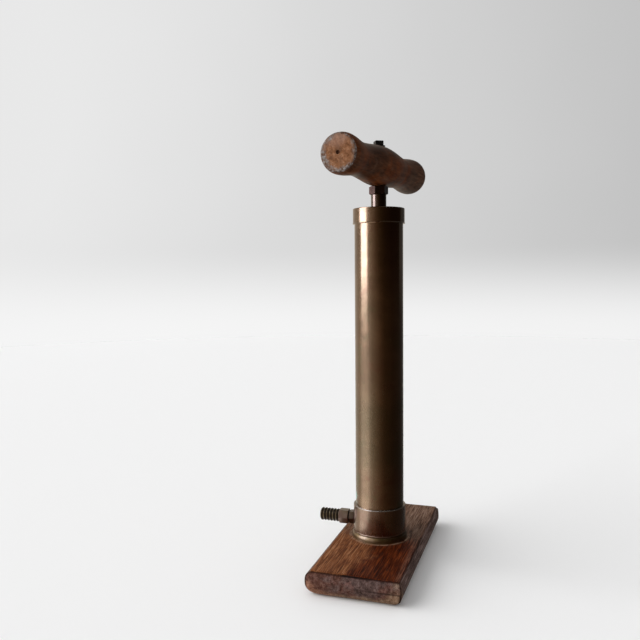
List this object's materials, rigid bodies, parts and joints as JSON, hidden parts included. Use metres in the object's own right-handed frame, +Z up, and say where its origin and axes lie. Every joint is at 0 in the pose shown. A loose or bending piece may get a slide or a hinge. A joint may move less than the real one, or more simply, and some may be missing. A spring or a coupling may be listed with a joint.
{
  "type": "hand air pump",
  "caption": "Upright brass hand air pump on a moulded wooden foot board, with a turned wooden cross handle on a thick rod and a ribbed hose nipple low on one side.",
  "frame": {"origin": "on the floor, at the foot board's underside, on the barrel's axis", "axes": "+Z up along the barrel's axis, Y along the foot board's length, the hose nipple points along -X"},
  "size_m": [0.1129, 0.227, 0.4406],
  "materials": {
    "board_wood": "worn dark stain, satin",
    "handle_wood": "worn dark polish, satin",
    "aged_brass": "aged, polished by handling",
    "cup_brass": "aged brown patina",
    "fitting_brass": "dark patina",
    "inner_brass": "oiled, machined",
    "iron": "blackened",
    "steel": "plain",
    "leather": "oiled",
    "felt": "oiled felt",
    "fibre": "vulcanised fibre"
  },
  "bodies": {
    "stand": {"base_board": "board_wood", "base_screws": "steel", "base_cup": "cup_brass", "barrel_washer": "leather", "barrel_tube": "aged_brass", "cap_washer": "leather", "top_cap": "aged_brass", "rod_bush": "inner_brass", "wiper_ring": "felt", "outlet_washer": "fibre", "outlet_locknut": "fitting_brass", "outlet_nipple": "fitting_brass", "valve_seat": "inner_brass", "valve_spring": "steel", "valve_plug": "inner_brass"},
    "outlet_ball": {"valve_ball": "steel"},
    "leather_cup": {"piston_leather": "leather", "cup_expander": "inner_brass"},
    "plunger": {"piston_rod": "aged_brass", "piston_backplate": "inner_brass", "piston_follower": "inner_brass", "piston_washer": "steel", "piston_nut": "inner_brass", "buffer_washer": "leather", "handle_collar": "fitting_brass", "handle_grip": "handle_wood", "handle_washer": "iron", "handle_nut": "iron"}
  },
  "joints": [
    {"name": "plunger_slide", "type": "slide", "parent": "stand", "child": "leather_cup", "axis": [0, 0, 1], "range_m": [0, 0.2772]},
    {"name": "handle_turn", "type": "hinge", "parent": "leather_cup", "child": "plunger", "pos_m": [0, 0, 0.06], "axis": [0, 0, 1], "continuous": true},
    {"name": "outlet_valve", "type": "slide", "parent": "stand", "child": "outlet_ball", "axis": [0, 0, 1], "range_m": [-0.002, 0], "stiffness_N_per_m": 40, "springref_m": 0.0025, "deforming": ["valve_spring"]}
  ]
}
